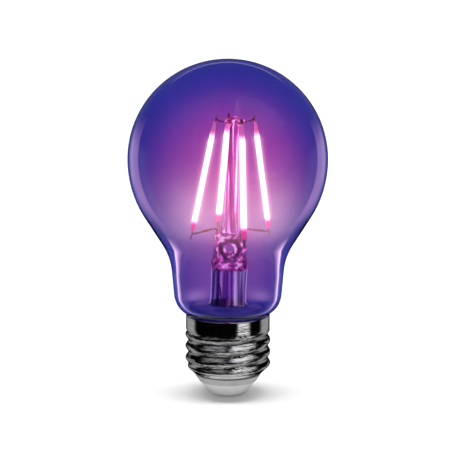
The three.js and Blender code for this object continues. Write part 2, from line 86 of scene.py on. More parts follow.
# stem, which leans as one piece
LEAN = math.radians(2.2)
LEAN_Z = RIM_Z + 1.9
FLARE_FOOT_Z = RIM_Z + 0.75
FLARE_TOP_Z = 39.6
FLARE_RADIUS = 5.4
SEAL_TOP_Z = FLARE_FOOT_Z + 2.6
EXHAUST_FOOT_Z = RIM_Z - 10.8
EXHAUST_RADIUS = 1.9
HOLE_Z = 45.2
PRESS_TOP_Z = 50.0
BEAD_Z = 84.1
BEAD_RADIUS = 1.7

# filaments: radius and height of the ends of the phosphor
FILAMENT_COUNT = 4
FILAMENT_PHASE = math.radians(18.5)
FILAMENT_FOOT = (12.3, 50.4)
FILAMENT_HEAD = (6.3, 84.27)
FILAMENT_LENGTH = math.dist(FILAMENT_FOOT, FILAMENT_HEAD)
FILAMENT_SLOPE = (Vector(FILAMENT_HEAD) - Vector(FILAMENT_FOOT)).normalized()
WIRE_RADIUS = 0.25
WIRE_TIP = 0.55  # of the radius

COAT_HALF_WIDTH = 0.9
COAT_HALF_DEPTH = 0.75
COAT_END = 0.9
CHIP_PITCH = 1.15

# what leans with the stem is drawn upright and then carried by MOUNT
MOUNT = (
    Matrix.Translation((0, 0, LEAN_Z))
    @ Matrix.Rotation(LEAN, 4, "Y")
    @ Matrix.Translation((0, 0, -LEAN_Z))
)


# ---- mesh helpers -----------------------------------------------------------------------------


def polar(radius, angle, z):
    return Vector((radius * math.cos(angle), radius * math.sin(angle), z))


def mix(a, b, t):
    return a + (b - a) * t


def ramp(value, low, high):
    return min(max((value - low) / (high - low), 0.0), 1.0)


def soft_ramp(value, low, high):
    t = ramp(value, low, high)
    return t * t * (3 - 2 * t)


def knobbly(amount, size):
    """Moves points a little, as glass worked by hand is uneven."""
    return lambda point: point + noise.noise_vector(point / size) * amount


def new_object(name, mesh):
    mesh.polygons.foreach_set("use_smooth", [True] * len(mesh.polygons))
    thing = bpy.data.objects.new(name, mesh)
    bpy.context.scene.collection.objects.link(thing)
    return thing


def mesh_from(name, verts, faces, matrix=None):
    """A mesh in metres from points in millimetres."""
    mesh = bpy.data.meshes.new(name)
    points = [Vector(v) for v in verts]
    if matrix is not None:
        points = [matrix @ p for p in points]
    mesh.from_pydata([p * MM for p in points], [], faces)
    mesh.update()
    return mesh


def quads(low, high):
    """Faces between two closed rows of points, given by their indices."""
    after = [*range(1, len(low)), 0]
    return [(low[i], low[j], high[j], high[i]) for i, j in enumerate(after)]


def skin(rings, closed=False):
    """Points and faces of closed rings, all of one length, joined one to the next."""
    count = len(rings[0])
    verts = [p for ring in rings for p in ring]
    rows = [range(i, i + count) for i in range(0, len(verts), count)]
    faces = []
    for low, high in zip(rows, rows[1:] + (rows[:1] if closed else [])):
        faces += quads(low, high)
    return verts, faces


def loft(name, rings, matrix=None):
    """Joins closed rings of points and caps both ends."""
    verts, faces = skin(rings)
    count = len(rings[0])
    caps = [tuple(reversed(range(count))), tuple(range(len(verts) - count, len(verts)))]
    return new_object(name, mesh_from(name, verts, caps + faces, matrix))


def oval_ring(z, half_width, half_depth, power=2.0, count=72):
    """A closed ring at z; the higher the power, the squarer its corners."""
    ring = []
    for k in range(count):
        angle = 2 * math.pi * k / count
        c, s = math.cos(angle), math.sin(angle)
        size = (abs(c) ** power + abs(s) ** power) ** (-1 / power)
        ring.append(Vector((half_width * size * c, half_depth * size * s, z)))
    return ring


def lathe(name, profile, segments=128, ring=False, matrix=None, warp=None):
    """Turns (radius, z) points round the axis; ring closes the profile on itself."""
    verts, rows = [], []
    for radius, z in profile:
        if radius < 1e-6:
            rows.append([len(verts)])
            verts.append((0, 0, z))
            continue
        rows.append(range(len(verts), len(verts) + segments))
        for i in range(segments):
            point = polar(radius, 2 * math.pi * i / segments, z)
            verts.append(warp(point) if warp else point)
    after = [*range(1, segments), 0]
    faces = []
    for low, high in zip(rows, rows[1:] + (rows[:1] if ring else [])):
        if len(low) == len(high) == 1:
            continue
        if len(low) == 1:
            faces += [(low[0], high[j], high[i]) for i, j in enumerate(after)]
        elif len(high) == 1:
            faces += [(low[i], low[j], high[0]) for i, j in enumerate(after)]
        else:
            faces += quads(low, high)
    return new_object(name, mesh_from(name, verts, faces, matrix))


def smooth_line(points, steps=8):
    """A centripetal Catmull-Rom line through the points."""
    points = [Vector(p) for p in points]
    padded = [points[0] * 2 - points[1], *points, points[-1] * 2 - points[-2]]
    line = []
    for a, b, c, d in zip(padded, padded[1:], padded[2:], padded[3:]):
        knots = [0.0]
        for p, q in ((a, b), (b, c), (c, d)):
            knots.append(knots[-1] + max((q - p).length, 1e-6) ** 0.5)
        t0, t1, t2, t3 = knots
        for i in range(steps):
            t = mix(t1, t2, i / steps)
            a1 = mix(a, b, (t - t0) / (t1 - t0))
            a2 = mix(b, c, (t - t1) / (t2 - t1))
            a3 = mix(c, d, (t - t2) / (t3 - t2))
            b1 = mix(a1, a2, (t - t0) / (t2 - t0))
            b2 = mix(a2, a3, (t - t1) / (t3 - t1))
            line.append(mix(b1, b2, (t - t1) / (t2 - t1)))
    line.append(points[-1])
    return line


def wire(name, points, sides=12):
    """A round wire along the points, with rounded ends, that leans with the stem."""
    line = smooth_line(points)
    heading = (line[1] - line[0]).normalized()
    across = heading.orthogonal().normalized()
    last = len(line) - 1
    rings = []
    for i, point in enumerate(line):
        ahead = (line[min(i + 1, last)] - line[max(i - 1, 0)]).normalized()
        across = (heading.rotation_difference(ahead) @ across).normalized()
        heading = ahead
        up = heading.cross(across)
        size = WIRE_RADIUS * (WIRE_TIP if i in (0, last) else 1)
        angles = [2 * math.pi * k / sides for k in range(sides)]
        rings.append([point + (across * math.cos(a) + up * math.sin(a)) * size for a in angles])
    return loft(name, rings, MOUNT)


def finished(piece, material, slot, *nodes):
    """Paints a piece, hangs it on the body and lets it stand for its CAD nodes."""
    piece.data.materials.clear()
    piece.data.materials.append(material)
    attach(piece, "root")
    if nodes:
        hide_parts(*nodes)
    return piece


# ---- node graphs ------------------------------------------------------------------------------


class Graph:
    """The nodes of a material or world. Any input takes a number, a colour or a socket."""

    def __init__(self, owner):
        owner.use_nodes = True
        self.nodes = owner.node_tree.nodes
        self.links = owner.node_tree.links

    def put(self, socket, value):
        if isinstance(value, bpy.types.NodeSocket):
            self.links.new(value, socket)
        elif socket.type == "RGBA":
            socket.default_value = (*value, 1)
        else:
            socket.default_value = value

    def fill(self, node, inputs):
        for key, value in inputs.items():
            self.put(node.inputs[key], value)

    def add(self, kind, inputs=None, **settings):
        """A new node with its settings made and its inputs filled."""
        node = self.nodes.new(f"ShaderNode{kind}")
        for setting, value in settings.items():
            setattr(node, setting, value)
        self.fill(node, inputs or {})
        return node

    def maths(self, operation, *values):
        return self.add("Math", dict(enumerate(values)), operation=operation).outputs[0]

    def times(self, first, *others):
        for other in others:
            first = self.maths("MULTIPLY", first, other)
        return first

    def vectors(self, operation, *values):
        node = self.add("VectorMath", dict(enumerate(values)), operation=operation)
        return node.outputs["Vector"]

    def scaled(self, vector, factor):
        node = self.add("VectorMath", {0: vector, "Scale": factor}, operation="SCALE")
        return node.outputs["Vector"]

    def place(self):
        """Position in the object, in metres."""
        return self.add("TexCoord").outputs["Object"]

    def stretched(self, stretch):
        node = self.add("Mapping", {"Vector": self.place(), "Scale": stretch})
        return node.outputs["Vector"]

    def xyz(self, vector):
        return self.add("SeparateXYZ", {"Vector": vector}).outputs

    def xyz_mm(self):
        """Position in the object, in millimetres."""
        return self.xyz(self.scaled(self.place(), 1 / MM))

    def facing(self):
        """0 where glass faces the eye, 1 at its outline."""
        return self.add("LayerWeight", {"Blend": 0.5}).outputs["Facing"]

    def noise(self, vector, scale, detail=3.0, roughness=0.5):
        inputs = {"Vector": vector, "Scale": scale, "Detail": detail, "Roughness": roughness}
        return self.add("TexNoise", inputs).outputs["Fac"]

    def fade(self, value, low, high):
        """0 at low and 1 at high, eased at both ends; low may be above high."""
        inputs = {"Value": value, "From Min": low, "From Max": high}
        return self.add("MapRange", inputs, interpolation_type="SMOOTHSTEP").outputs["Result"]

    def between(self, value, bottom, full, last, top):
        """1 from full to last, eased to 0 at bottom and at top."""
        return self.times(self.fade(value, bottom, full), self.fade(value, top, last))

    def spread(self, value, low, high, start=0.3, stop=0.7):
        """Stretches the part of value from start to stop over low to high."""
        inputs = {
            "Value": value, "From Min": start, "From Max": stop, "To Min": low, "To Max": high,
        }
        return self.add("MapRange", inputs).outputs["Result"]

    def squares(self, *values):
        """The sum of the squares."""
        total = 0.0
        for value in values:
            total = self.maths("MULTIPLY_ADD", value, value, total)
        return total

    def off(self, value, middle, width):
        """How far the value is from the middle, in widths."""
        return self.maths("DIVIDE", self.maths("SUBTRACT", value, middle), width)

    def bell(self, squared, width=1.0):
        """1 at no distance, falling off evenly; takes the square of the distance."""
        return self.maths("EXPONENT", self.maths("MULTIPLY", squared, -1 / width**2))

    def colours(self, value, stops):
        node = self.add("ValToRGB", {"Fac": value})
        elements = node.color_ramp.elements
        while len(elements) < len(stops):
            elements.new(0.5)
        for element, (position, colour) in zip(elements, stops):
            element.position = position
            element.color = (*colour, 1)
        return node.outputs["Color"]

    def two_colours(self, value, first, second, low=0.35, high=0.65):
        return self.colours(value, [(low, first), (high, second)])

    def mixed(self, factor, first, second):
        inputs = {"Factor": factor, "A": first, "B": second}
        return self.add("Mix", inputs, data_type="RGBA").outputs["Result"]

    def bump(self, height, strength, distance):
        inputs = {"Height": height, "Strength": strength, "Distance": distance}
        return self.add("Bump", inputs).outputs["Normal"]


def new_material(name):
    material = bpy.data.materials.new(name)
    graph = Graph(material)
    return material, graph, graph.nodes["Principled BSDF"]


# ---- glass materials --------------------------------------------------------------------------


TINT_DENSITY = 354  # per metre of glass
# heights where the painted sheen inside the outline starts, is full, starts to fade and is gone
GLOBE_SHEEN = (52, 64, 77, 88)
NECK_SHEEN = (26, 32, 45, 52)
# how far glass turns from the eye, from 0 to 1, where its wall looks thick and where its edge gets a
# painted highlight
THICK_WALL = (0.12, 0.20)
PAINTED_EDGE_HIGHLIGHT = (0.68, 0.84)


def tinted_glass():
    """Blue-violet glass, with a painted reflection: a pale band just inside its outline."""
    material, graph, shader = new_material("tinted_glass")
    cloud = graph.noise(graph.place(), 60)
    height = graph.xyz_mm()["Z"]
    facing = graph.facing()
    black = (0.0, 0.0, 0.0)
    navy = (0.005, 0.006, 0.06)
    # painted reflection on the globe: a pale band inside the outline, then a painted navy glow at the
    # outline
    globe = graph.colours(
        facing,
        [(0.545, black), (0.56, (0.17, 0.075, 0.15)), (0.72, (0.21, 0.13, 0.20)), (0.82, navy),
         (1.0, navy)],
    )
    # painted highlight on the neck: a pale pink streak of light, then a painted navy glow at the
    # outline
    neck = graph.colours(
        facing,
        [(0.50, black), (0.545, (0.28, 0.13, 0.25)), (0.61, (1.0, 0.70, 0.88)), (0.635, navy),
         (1.0, navy)],
    )
    globe = graph.scaled(globe, graph.between(height, *GLOBE_SHEEN))
    neck = graph.scaled(neck, graph.between(height, *NECK_SHEEN))
    # the painted sheen goes on the outer side of the wall only
    outside = graph.add("Attribute", attribute_name="outside").outputs["Fac"]
    graph.fill(shader, {
        "Base Color": graph.two_colours(cloud, (0.20, 0.208, 0.60), (0.23, 0.24, 0.64)),
        "Transmission Weight": 1.0,
        "IOR": 1.46,
        "Specular Tint": (0.17, 0.17, 0.17),
        "Roughness": 0.0,
        "Emission Color": graph.vectors("ADD", globe, neck),
        "Emission Strength": outside,
        "Normal": graph.bump(cloud, 1.0, 0.00002),
    })
    tint = graph.add("VolumeAbsorption", {"Color": (0.0, 0.01, 0.63), "Density": TINT_DENSITY})
    graph.fill(graph.nodes["Material Output"], {"Volume": tint.outputs["Volume"]})
    return material


def lit_glass(name, marks_of, dark, clear, painted_glow, rim, power, relief, band=None):
    """Clear glass with a painted glow of the filaments' light in streaks or facets, and a painted
    highlight along its edges.
    """
    material, graph, shader = new_material(name)
    marks = marks_of(graph)
    facing = graph.facing()
    tint = graph.two_colours(marks, dark, clear, 0.40, 0.6)
    if band:
        tint = graph.mixed(graph.fade(facing, *THICK_WALL), tint, band)
    # painted highlight along the edges, by how far the glass turns from the eye
    edge_highlight = graph.fade(facing, *PAINTED_EDGE_HIGHLIGHT)
    graph.fill(shader, {
        "Base Color": tint,
        "Transmission Weight": 1.0,
        "IOR": 1.5,
        "Roughness": 0.0,
        # the emission is painted light: a glow along the grain, mixed into the painted edge highlight
        "Emission Color": graph.mixed(edge_highlight, graph.colours(marks, painted_glow), rim),
        "Emission Strength": power,
        "Normal": graph.bump(marks, 1.0, relief),
    })
    return material


def drawn(along, scale, detail=3.0, roughness=0.5):
    """Glass grain, which also places the painted glow; the less it is scaled along the tube, the
    longer its streaks.
    """
    return lambda graph: graph.noise(graph.stretched((1, 1, along)), scale, detail, roughness)


def pinched_facets(graph):
    """Creases of glass pinched while soft, and rings round the blow hole; the tone gives their
    relief, their tint and a painted glow, bright on the collar next to the hole.
    """
    spot = graph.place()
    wobble = graph.add("TexNoise", {"Vector": spot, "Scale": 420}).outputs["Color"]
    shifted = graph.vectors("MULTIPLY_ADD", wobble, (0.003, 0.003, 0.003), spot)
    cells = graph.add("TexVoronoi", {"Vector": shifted, "Scale": 520}).outputs["Distance"]
    fine = graph.times(graph.noise(spot, 700, 4.0, 0.65), 0.62)
    tone = graph.maths("MULTIPLY_ADD", cells, 0.45, fine)
    x, _, z = graph.xyz_mm()
    off_x = graph.maths("SUBTRACT", x, (HOLE_Z - LEAN_Z) * math.sin(LEAN))
    off_z = graph.maths("SUBTRACT", z, HOLE_Z)
    reach = graph.maths("SQRT", graph.squares(off_x, off_z))
    # rings round the hole, light, dark, light: real ridges, and painted glow where the tone is high
    for radius, width, gain in ((1.6, 0.4, 0.16), (2.6, 0.5, -0.16), (3.9, 0.5, 0.12)):
        collar = graph.bell(graph.squares(graph.off(reach, radius, width)))
        tone = graph.maths("MULTIPLY_ADD", collar, gain, tone)
    return tone


# each glass: name, grain, dark and clear tint, painted glow along the grain, painted edge light, its
# strength, relief, and the colour where the wall looks thick
stem_glass = lit_glass(
    "stem_glass", drawn(0.05, 620, 4.0, 0.6), (0.55, 0.38, 0.80), (0.95, 0.85, 1.0),
    [(0.46, (0.02, 0.002, 0.006)), (0.56, (0.06, 0.012, 0.016)), (0.64, (0.20, 0.09, 0.07)),
     (0.72, (0.7, 0.46, 0.22))],
    rim=(0.55, 0.42, 0.26), power=1.8, relief=0.00001,
)
flare_glass = lit_glass(
    "flare_glass", drawn(0.01, 560, 2.0, 0.45), (0.55, 0.28, 0.56), (0.98, 0.90, 1.0),
    [(0.46, (0.0, 0.0, 0.0)), (0.55, (0.05, 0.01, 0.014)), (0.61, (0.22, 0.10, 0.08)),
     (0.69, (0.6, 0.40, 0.22))],
    rim=(0.8, 0.66, 0.30), power=2.3, relief=0.00001, band=(0.32, 0.24, 0.50),
)
post_glass = lit_glass(
    "post_glass", drawn(0.02, 1100), (0.42, 0.06, 0.34), (0.95, 0.70, 0.95),
    [(0.44, (0.04, 0.0, 0.01)), (0.53, (0.16, 0.01, 0.03)), (0.60, (0.7, 0.25, 0.20)),
     (0.68, (1.0, 0.85, 0.45))],
    rim=(0.85, 0.55, 0.32), power=3.6, relief=0.00003,
)
press_glass = lit_glass(
    "press_glass", pinched_facets, (0.02, 0.003, 0.07), (0.42, 0.12, 0.48),
    [(0.50, (0.0, 0.0, 0.0)), (0.57, (0.16, 0.002, 0.018)), (0.65, (0.50, 0.012, 0.07)),
     (0.75, (1.0, 0.66, 0.34))],
    rim=(0.10, 0.004, 0.02), power=3.4, relief=0.0006,
)
bead_glass = lit_glass(
    "bead_glass", drawn(1, 900, 3.0, 0.6), (0.10, 0.02, 0.14), (0.75, 0.35, 0.75),
    [(0.45, (0.02, 0.0, 0.004)), (0.52, (0.22, 0.01, 0.03)), (0.59, (0.60, 0.10, 0.12)),
     (0.66, (1.0, 0.80, 0.40))],
    rim=(0.10, 0.004, 0.02), power=4.0, relief=0.0003,
)


def lacquered_seal():
    """Deep blue lacquer with a few pale wipe marks, where the stem is sealed to the neck."""
    material, graph, shader = new_material("lacquered_seal")
    wipes = graph.noise(graph.stretched((1, 1, 4)), 150, 5.0, 0.6)
    graph.fill(shader, {
        "Base Color": graph.two_colours(wipes, (0.03, 0.035, 0.16), (0.07, 0.07, 0.28)),
        "Roughness": 0.12,
        "IOR": 1.46,
        # painted glow: a faint blue light on the lacquer
        "Emission Color": (0.35, 0.33, 1.0),
        "Emission Strength": 0.05,
        "Normal": graph.bump(wipes, 0.4, 0.0001),
    })
    return material


def lit_gas():
    """Clear gas with a painted glow for the filaments' light: pink round them, fading to the glass.
    """
    material, graph, shader = new_material("lit_gas")
    graph.nodes.remove(shader)
    maths, times, fade, between = graph.maths, graph.times, graph.fade, graph.between
    x, y, z = graph.xyz_mm()
    reach = maths("SQRT", graph.squares(x, y, maths("SUBTRACT", z, GLOW_Z)))
    # from here on x is counted from the leaning axis of the mount
    slope = math.tan(LEAN)
    x = maths("ADD", x, maths("MULTIPLY_ADD", z, -slope, LEAN_Z * slope))
    aside_x = maths("ABSOLUTE", x)

    def bell(radius, low, middle, high):
        """A bell round the mount's axis, with its own reach down and up."""
        rise = maths("SUBTRACT", z, middle)
        up = maths("DIVIDE", maths("MAXIMUM", rise, 0.0), high)
        down = maths("DIVIDE", maths("MINIMUM", rise, 0.0), low)
        flat = maths("DIVIDE", graph.squares(x, y), radius**2)
        return graph.bell(maths("ADD", flat, graph.squares(up, down)))

    # the filaments stand a quarter turn apart, so one field serves them all
    foot_radius, foot_z = FILAMENT_FOOT
    ring = maths(
        "MULTIPLY_ADD", maths("SUBTRACT", z, foot_z), FILAMENT_SLOPE.x / FILAMENT_SLOPE.y, foot_radius
    )
    c, s = math.cos(FILAMENT_PHASE), math.sin(FILAMENT_PHASE)
    u = maths("ADD", times(x, c), times(y, s))
    v = maths("SUBTRACT", times(y, c), times(x, s))
    out = maths("SQRT", graph.squares(u, v))
    aside = maths("DIVIDE", times(u, v), maths("MAXIMUM", out, 1.0))
    gap = graph.squares(maths("SUBTRACT", out, ring), aside)

    # painted shade: the glow is weaker low down and in front of the stem
    painted_shade = times(fade(z, 51.5, 46), fade(y, 5, -3))
    out_of_painted_shade = maths("SUBTRACT", 1.0, painted_shade)
    patch = graph.squares(
        graph.off(aside_x, 12, 8), graph.off(y, 4, 12), graph.off(z, 54.5, 8.5)
    )
    pool = graph.bell(graph.squares(graph.off(z, 28.4, 2.1)))
    # painted glow, field by field: where it is, how strong, and what colour
    fields = [
        # all through the globe
        (
            times(bell(22, 17, 62, 30), fade(reach, 36, 19), maths("MULTIPLY_ADD", painted_shade, -0.5, 1)),
            84.0, (1.0, 0.06, 0.05),
        ),
        # round the press
        (times(bell(23, 8, 54, 13), out_of_painted_shade), 36.0, (1.0, 0.785, 0.20)),
        # two hazy patches, left and right of the stem
        (times(graph.bell(patch), out_of_painted_shade), 62.0, (1.0, 0.8, 0.24)),
        # the neck, behind the tube
        (
            times(between(z, 26.8, 29, 42, 58), fade(out, 5.0, 6.5), fade(y, -4, 4)),
            70.0, (1.0, 0.24, 0.13),
        ),
        # wide and close halos of the filaments
        (times(graph.bell(gap, 1.7), between(z, 51.5, 54.5, 78, 82)), 380.0, (1.0, 0.38, 0.09)),
        (times(graph.bell(gap, 1.05), between(z, 52.5, 54.5, 78, 80)), 1900.0, (1.0, 0.7, 0.25)),
        # a bright pool over the seal, at either side of the tube
        (times(pool, fade(aside_x, 4, 12), fade(y, 0, 6)), 190.0, (1.0, 0.6, 0.27)),
    ]
    lights = [
        graph.add("Emission", {"Color": colour, "Strength": times(field, strength)}).outputs[0]
        for field, strength, colour in fields
    ]
    total = lights[0]
    for light in lights[1:]:
        total = graph.add("AddShader", {0: total, 1: light}).outputs[0]
    clear = graph.add("BsdfTransparent").outputs[0]
    graph.fill(graph.nodes["Material Output"], {"Surface": clear, "Volume": total})
    material.cycles.volume_step_rate = 0.3
    return material


# ---- phosphor, metal and plastic --------------------------------------------------------------


def phosphor_coat():
    """Phosphor in silicone: white-hot over the chips, magenta where no chip lights it."""
    material, graph, shader = new_material("phosphor_coat")
    along = graph.xyz_mm()["Z"]
    lit = graph.between(along, 2.2, 4.2, FILAMENT_LENGTH - 5.9, FILAMENT_LENGTH - 2.8)
    ends = graph.mixed(graph.fade(along, 10, 24), (1.0, 0.015, 0.10), (0.62, 0.14, 0.10))
    grain = graph.noise(graph.place(), 1800)
    graph.fill(shader, {
        "Base Color": graph.two_colours(grain, (0.72, 0.10, 0.38), (0.86, 0.22, 0.50)),
        "Roughness": 0.45,
        "Emission Color": graph.mixed(lit, ends, (1.0, 0.95, 0.52)),
        "Emission Strength": graph.spread(lit, 3.6, 11.0, 0, 1),
        "Normal": graph.bump(grain, 0.3, 0.00004),
    })
    return material


def finish_material(
    name, first, second, roughness, metallic=0.0, scale=900.0, stretch=(1, 1, 1),
    height=0.00003, strength=0.3, smooth_above=None,
):
    """Colour, shine and relief from one grain, at the scale of the real finish."""
    material, graph, shader = new_material(name)
    spot = graph.stretched(stretch)
    grain = graph.noise(spot, scale)
    cloud = graph.noise(spot, scale / 6)
    if smooth_above:
        level = graph.xyz_mm()["Z"]
        strength = graph.spread(level, strength, 0.05, smooth_above - 1.2, smooth_above)
    graph.fill(shader, {
        "Base Color": graph.two_colours(grain, first, second),
        "Roughness": graph.spread(cloud, *roughness),
        "Metallic": metallic,
        "Normal": graph.bump(grain, strength, height),
    })
    return material


def lit_metal(metal):
    """Drawn wire close to the filaments: a lit copy of the wire metal, darker and pinker, with a
    painted glow of their pink light.
    """
    material = metal.copy()
    material.name = "lit_wire"
    graph = Graph(material)
    pink_tone_and_glow = graph.noise(graph.place(), 500)
    # painted light: a darker, pinker colour and a pink painted glow
    graph.fill(graph.nodes["Principled BSDF"], {
        "Base Color": graph.two_colours(pink_tone_and_glow, (0.10, 0.02, 0.08), (0.30, 0.12, 0.22)),
        "Emission Color": graph.two_colours(
            pink_tone_and_glow, (0.05, 0.002, 0.02), (0.40, 0.05, 0.09), 0.45, 0.66
        ),
        "Emission Strength": 1.0,
    })
    return material


def insulator_plastic():
    """Off-white moulding; its upper ring is painted greyer, as shade, than the bowl round the
    contact.
    """
    material, graph, shader = new_material("insulator")
    grain = graph.noise(graph.place(), 420)
    bowl = graph.two_colours(grain, (0.80, 0.80, 0.795), (0.86, 0.86, 0.85))
    # painted shade: the upper ring is greyer than the bowl
    ring = graph.two_colours(grain, (0.44, 0.44, 0.435), (0.52, 0.52, 0.515))
    shade_zone = graph.spread(graph.xyz_mm()["Z"], 0, 1, 4.3, 4.5)
    graph.fill(shader, {
        "Base Color": graph.mixed(shade_zone, bowl, ring),
        "Roughness": graph.spread(grain, 0.35, 0.5),
        "Normal": graph.bump(grain, 0.3, 0.00004),
    })
    return material


coat = phosphor_coat()
wire_metal = finish_material(
    "wire_metal", (0.42, 0.34, 0.42), (0.58, 0.48, 0.56), (0.22, 0.4), metallic=1.0, scale=2500
)
lit_wire = lit_metal(wire_metal)
# the rolling marks stay on the thread; the plain skirt over it is bright and even
nickel = finish_material(
    "cap_nickel", (0.60, 0.605, 0.61), (0.74, 0.74, 0.745), (0.06, 0.15), metallic=1.0,
    scale=150, stretch=(1, 1, 9), height=0.0005, strength=0.8, smooth_above=SKIRT_FOOT_Z,
)
contact_metal = finish_material(
    "contact_metal", (0.56, 0.50, 0.40), (0.70, 0.64, 0.54), (0.25, 0.45), metallic=1.0, scale=700
)


# ---- glass envelope and the gas in it ---------------------------------------------------------


def neck_point(z):
    return Vector((NECK_RADIUS + NECK_TAPER * (z - NECK_FOOT_Z), z))


def globe_point(angle, half_height):
    return Vector((GLOBE_RADIUS * math.cos(angle), GLOBE_Z + half_height * math.sin(angle)))


def straight(a, b, steps):
    return [a.lerp(b, i / steps) for i in range(1, steps + 1)]


def curve(a, b, c, steps):
    """A bend from a to c that aims for b."""
    a, b, c = Vector(a), Vector(b), Vector(c)
    return [
        a * (1 - t) ** 2 + b * 2 * t * (1 - t) + c * t * t
        for t in (i / steps for i in range(1, steps + 1))
    ]


def envelope_line():
    """The outer line of the glass, from its end in the cap up to the crown."""
    knee = neck_point(KNEE_Z)
    # the cone runs from the knee up to where it touches the globe's lower half, an ellipse
    knee_drop = (knee.y - GLOBE_Z) * GLOBE_RADIUS / GLOBE_DROP
    reach = math.acos(GLOBE_RADIUS / math.hypot(knee.x, knee_drop))
    touch = math.atan2(knee_drop, knee.x) + reach
    cone_top = globe_point(touch, GLOBE_DROP)
    cone_foot = knee.lerp(cone_top, 0.33)
    neck_top = neck_point(KNEE_Z - 4.6)
    neck_foot = neck_point(NECK_FOOT_Z)
    shoulder = Vector((SKIRT_RADIUS + 0.15, RIM_Z + 0.55))
    line = [Vector((TUCK_RADIUS, RIM_Z - 5.2 + i)) for i in range(5)]
    line += curve(line[-1], (TUCK_RADIUS + 0.1, RIM_Z + 0.1), shoulder, 6)
    line += curve(shoulder, (NECK_RADIUS - 0.7, RIM_Z + 1.9), neck_foot, 16)
    line += straight(neck_foot, neck_top, 8)
    line += curve(neck_top, knee, cone_foot, 18)
    line += straight(cone_foot, cone_top, 8)
    line += [globe_point(touch * (1 - i / 36), GLOBE_DROP) for i in range(1, 37)]
    line += [globe_point(math.pi / 2 * i / 48, GLOBE_RADIUS) for i in range(1, 49)]
    line[-1].x = 0.0
    return line


def wall_at(z):
    return mix(1.25, 0.85, soft_ramp(z, 38, 62))


def inset(line, gap=0.0):
    """The line moved inwards by the wall at each height, and a gap."""
    moved = []
    last = len(line) - 1
    for i, point in enumerate(line):
        run = (line[min(i + 1, last)] - line[max(i - 1, 0)]).normalized()
        wall = wall_at(point.y) + gap
        moved.append(Vector((point.x - wall * run.y, point.y + wall * run.x)))
    moved[-1] = Vector((0.0, line[-1].y - wall_at(line[-1].y) - gap))
    return moved


def make_envelope():
    """The glass shell; the attribute outside marks the points of its outer side."""
    outer = envelope_line()
    inner = inset(outer)
    inner[0].y = outer[0].y
    bulb = lathe("glass_bulb", [*outer, *reversed(inner)], 160, ring=True)
    outside = bulb.data.attributes.new("outside", "FLOAT", "POINT")
    outer_count = len(bulb.data.vertices) // 2
    for i, item in enumerate(outside.data):
        item.value = 1.0 if i < outer_count else 0.0
    finished(bulb, tinted_glass(), "tinted_glass", "glass_envelope")
    bulb.visible_shadow = False


def make_gas():
    """The gas inside the glass, down to just over the seal of the stem."""
    line = [p for p in inset(envelope_line(), GAS_GAP) if p.y > GAS_FLOOR_Z + 0.4]
    profile = [(0.0, GAS_FLOOR_Z), (line[0].x - 0.5, GAS_FLOOR_Z), *line]
    finished(lathe("gas_fill", profile, 64), lit_gas(), "tinted_glass")


make_envelope()
make_gas()


# ---- glass stem -------------------------------------------------------------------------------


def make_flare():
    """Tube and flat foot of the stem: the foot is sealed to the neck and carries its lacquer."""
    foot_z, top = FLARE_FOOT_Z, FLARE_TOP_Z
    foot = SKIRT_RADIUS - 0.75
    bore = FLARE_RADIUS - 0.3
    outer = [
        (foot, foot_z), (foot - 0.3, foot_z + 1.2), (9.5, foot_z + 1.6), (7.6, foot_z + 1.7),
        (6.4, foot_z + 1.9), (5.8, foot_z + 2.3), (5.5, foot_z + 3.0), (FLARE_RADIUS, foot_z + 5),
        (FLARE_RADIUS, top - 5.6), (FLARE_RADIUS + 0.05, top - 1), (FLARE_RADIUS + 0.07, top - 0.2),
        (FLARE_RADIUS, top),
    ]
    inner = [
        (bore + 0.1, top), (bore + 0.03, top - 0.2), (bore, top - 1), (bore - 0.05, top - 5.6),
        (bore, foot_z + 5), (bore + 0.1, foot_z + 2.8), (5.5, foot_z + 1.3), (6.2, foot_z + 0.4),
        (8.0, foot_z - 0.1), (foot - 0.4, foot_z - 0.3),
    ]
    flare = lathe("stem_flare_glass", outer + inner, 96, ring=True, matrix=MOUNT)
    finished(flare, flare_glass, "stem_glass", "stem_flare")
    flare.data.materials.append(lacquered_seal())
    upright = MOUNT.inverted()
    for face in flare.data.polygons:
        if (upright @ (face.center / MM)).z < SEAL_TOP_Z:
            face.material_index = 1


def press_blank():
    """The press before its hole: the round tube's end, pinched flat."""
    levels = [  # height, half width, half depth, squareness
        (39.3, 5.5, 5.3, 2.0), (40.0, 5.65, 4.7, 2.1), (40.8, 5.7, 3.8, 2.3), (41.6, 5.55, 3.0, 2.7),
        (42.4, 5.25, 2.4, 3.1), (43.4, 5.0, 2.1, 3.4), (44.6, 4.9, 2.0, 3.6), (46.0, 4.85, 2.0, 3.6),
        (47.4, 4.9, 2.1, 3.5), (48.6, 4.95, 2.2, 3.2), (49.4, 4.85, 2.1, 2.9), (49.9, 4.5, 1.8, 2.6),
        (50.25, 3.7, 1.3, 2.4), (50.4, 2.2, 0.7, 2.2),
    ]
    fine = [
        [mix(a, b, i / 3) for a, b in zip(low, high)]
        for low, high in zip(levels, levels[1:])
        for i in range(3)
    ]
    warp = knobbly(0.34, 1.9)
    rings = [[warp(p) for p in oval_ring(*level)] for level in [*fine, levels[-1]]]
    return loft("stem_press_glass", rings)


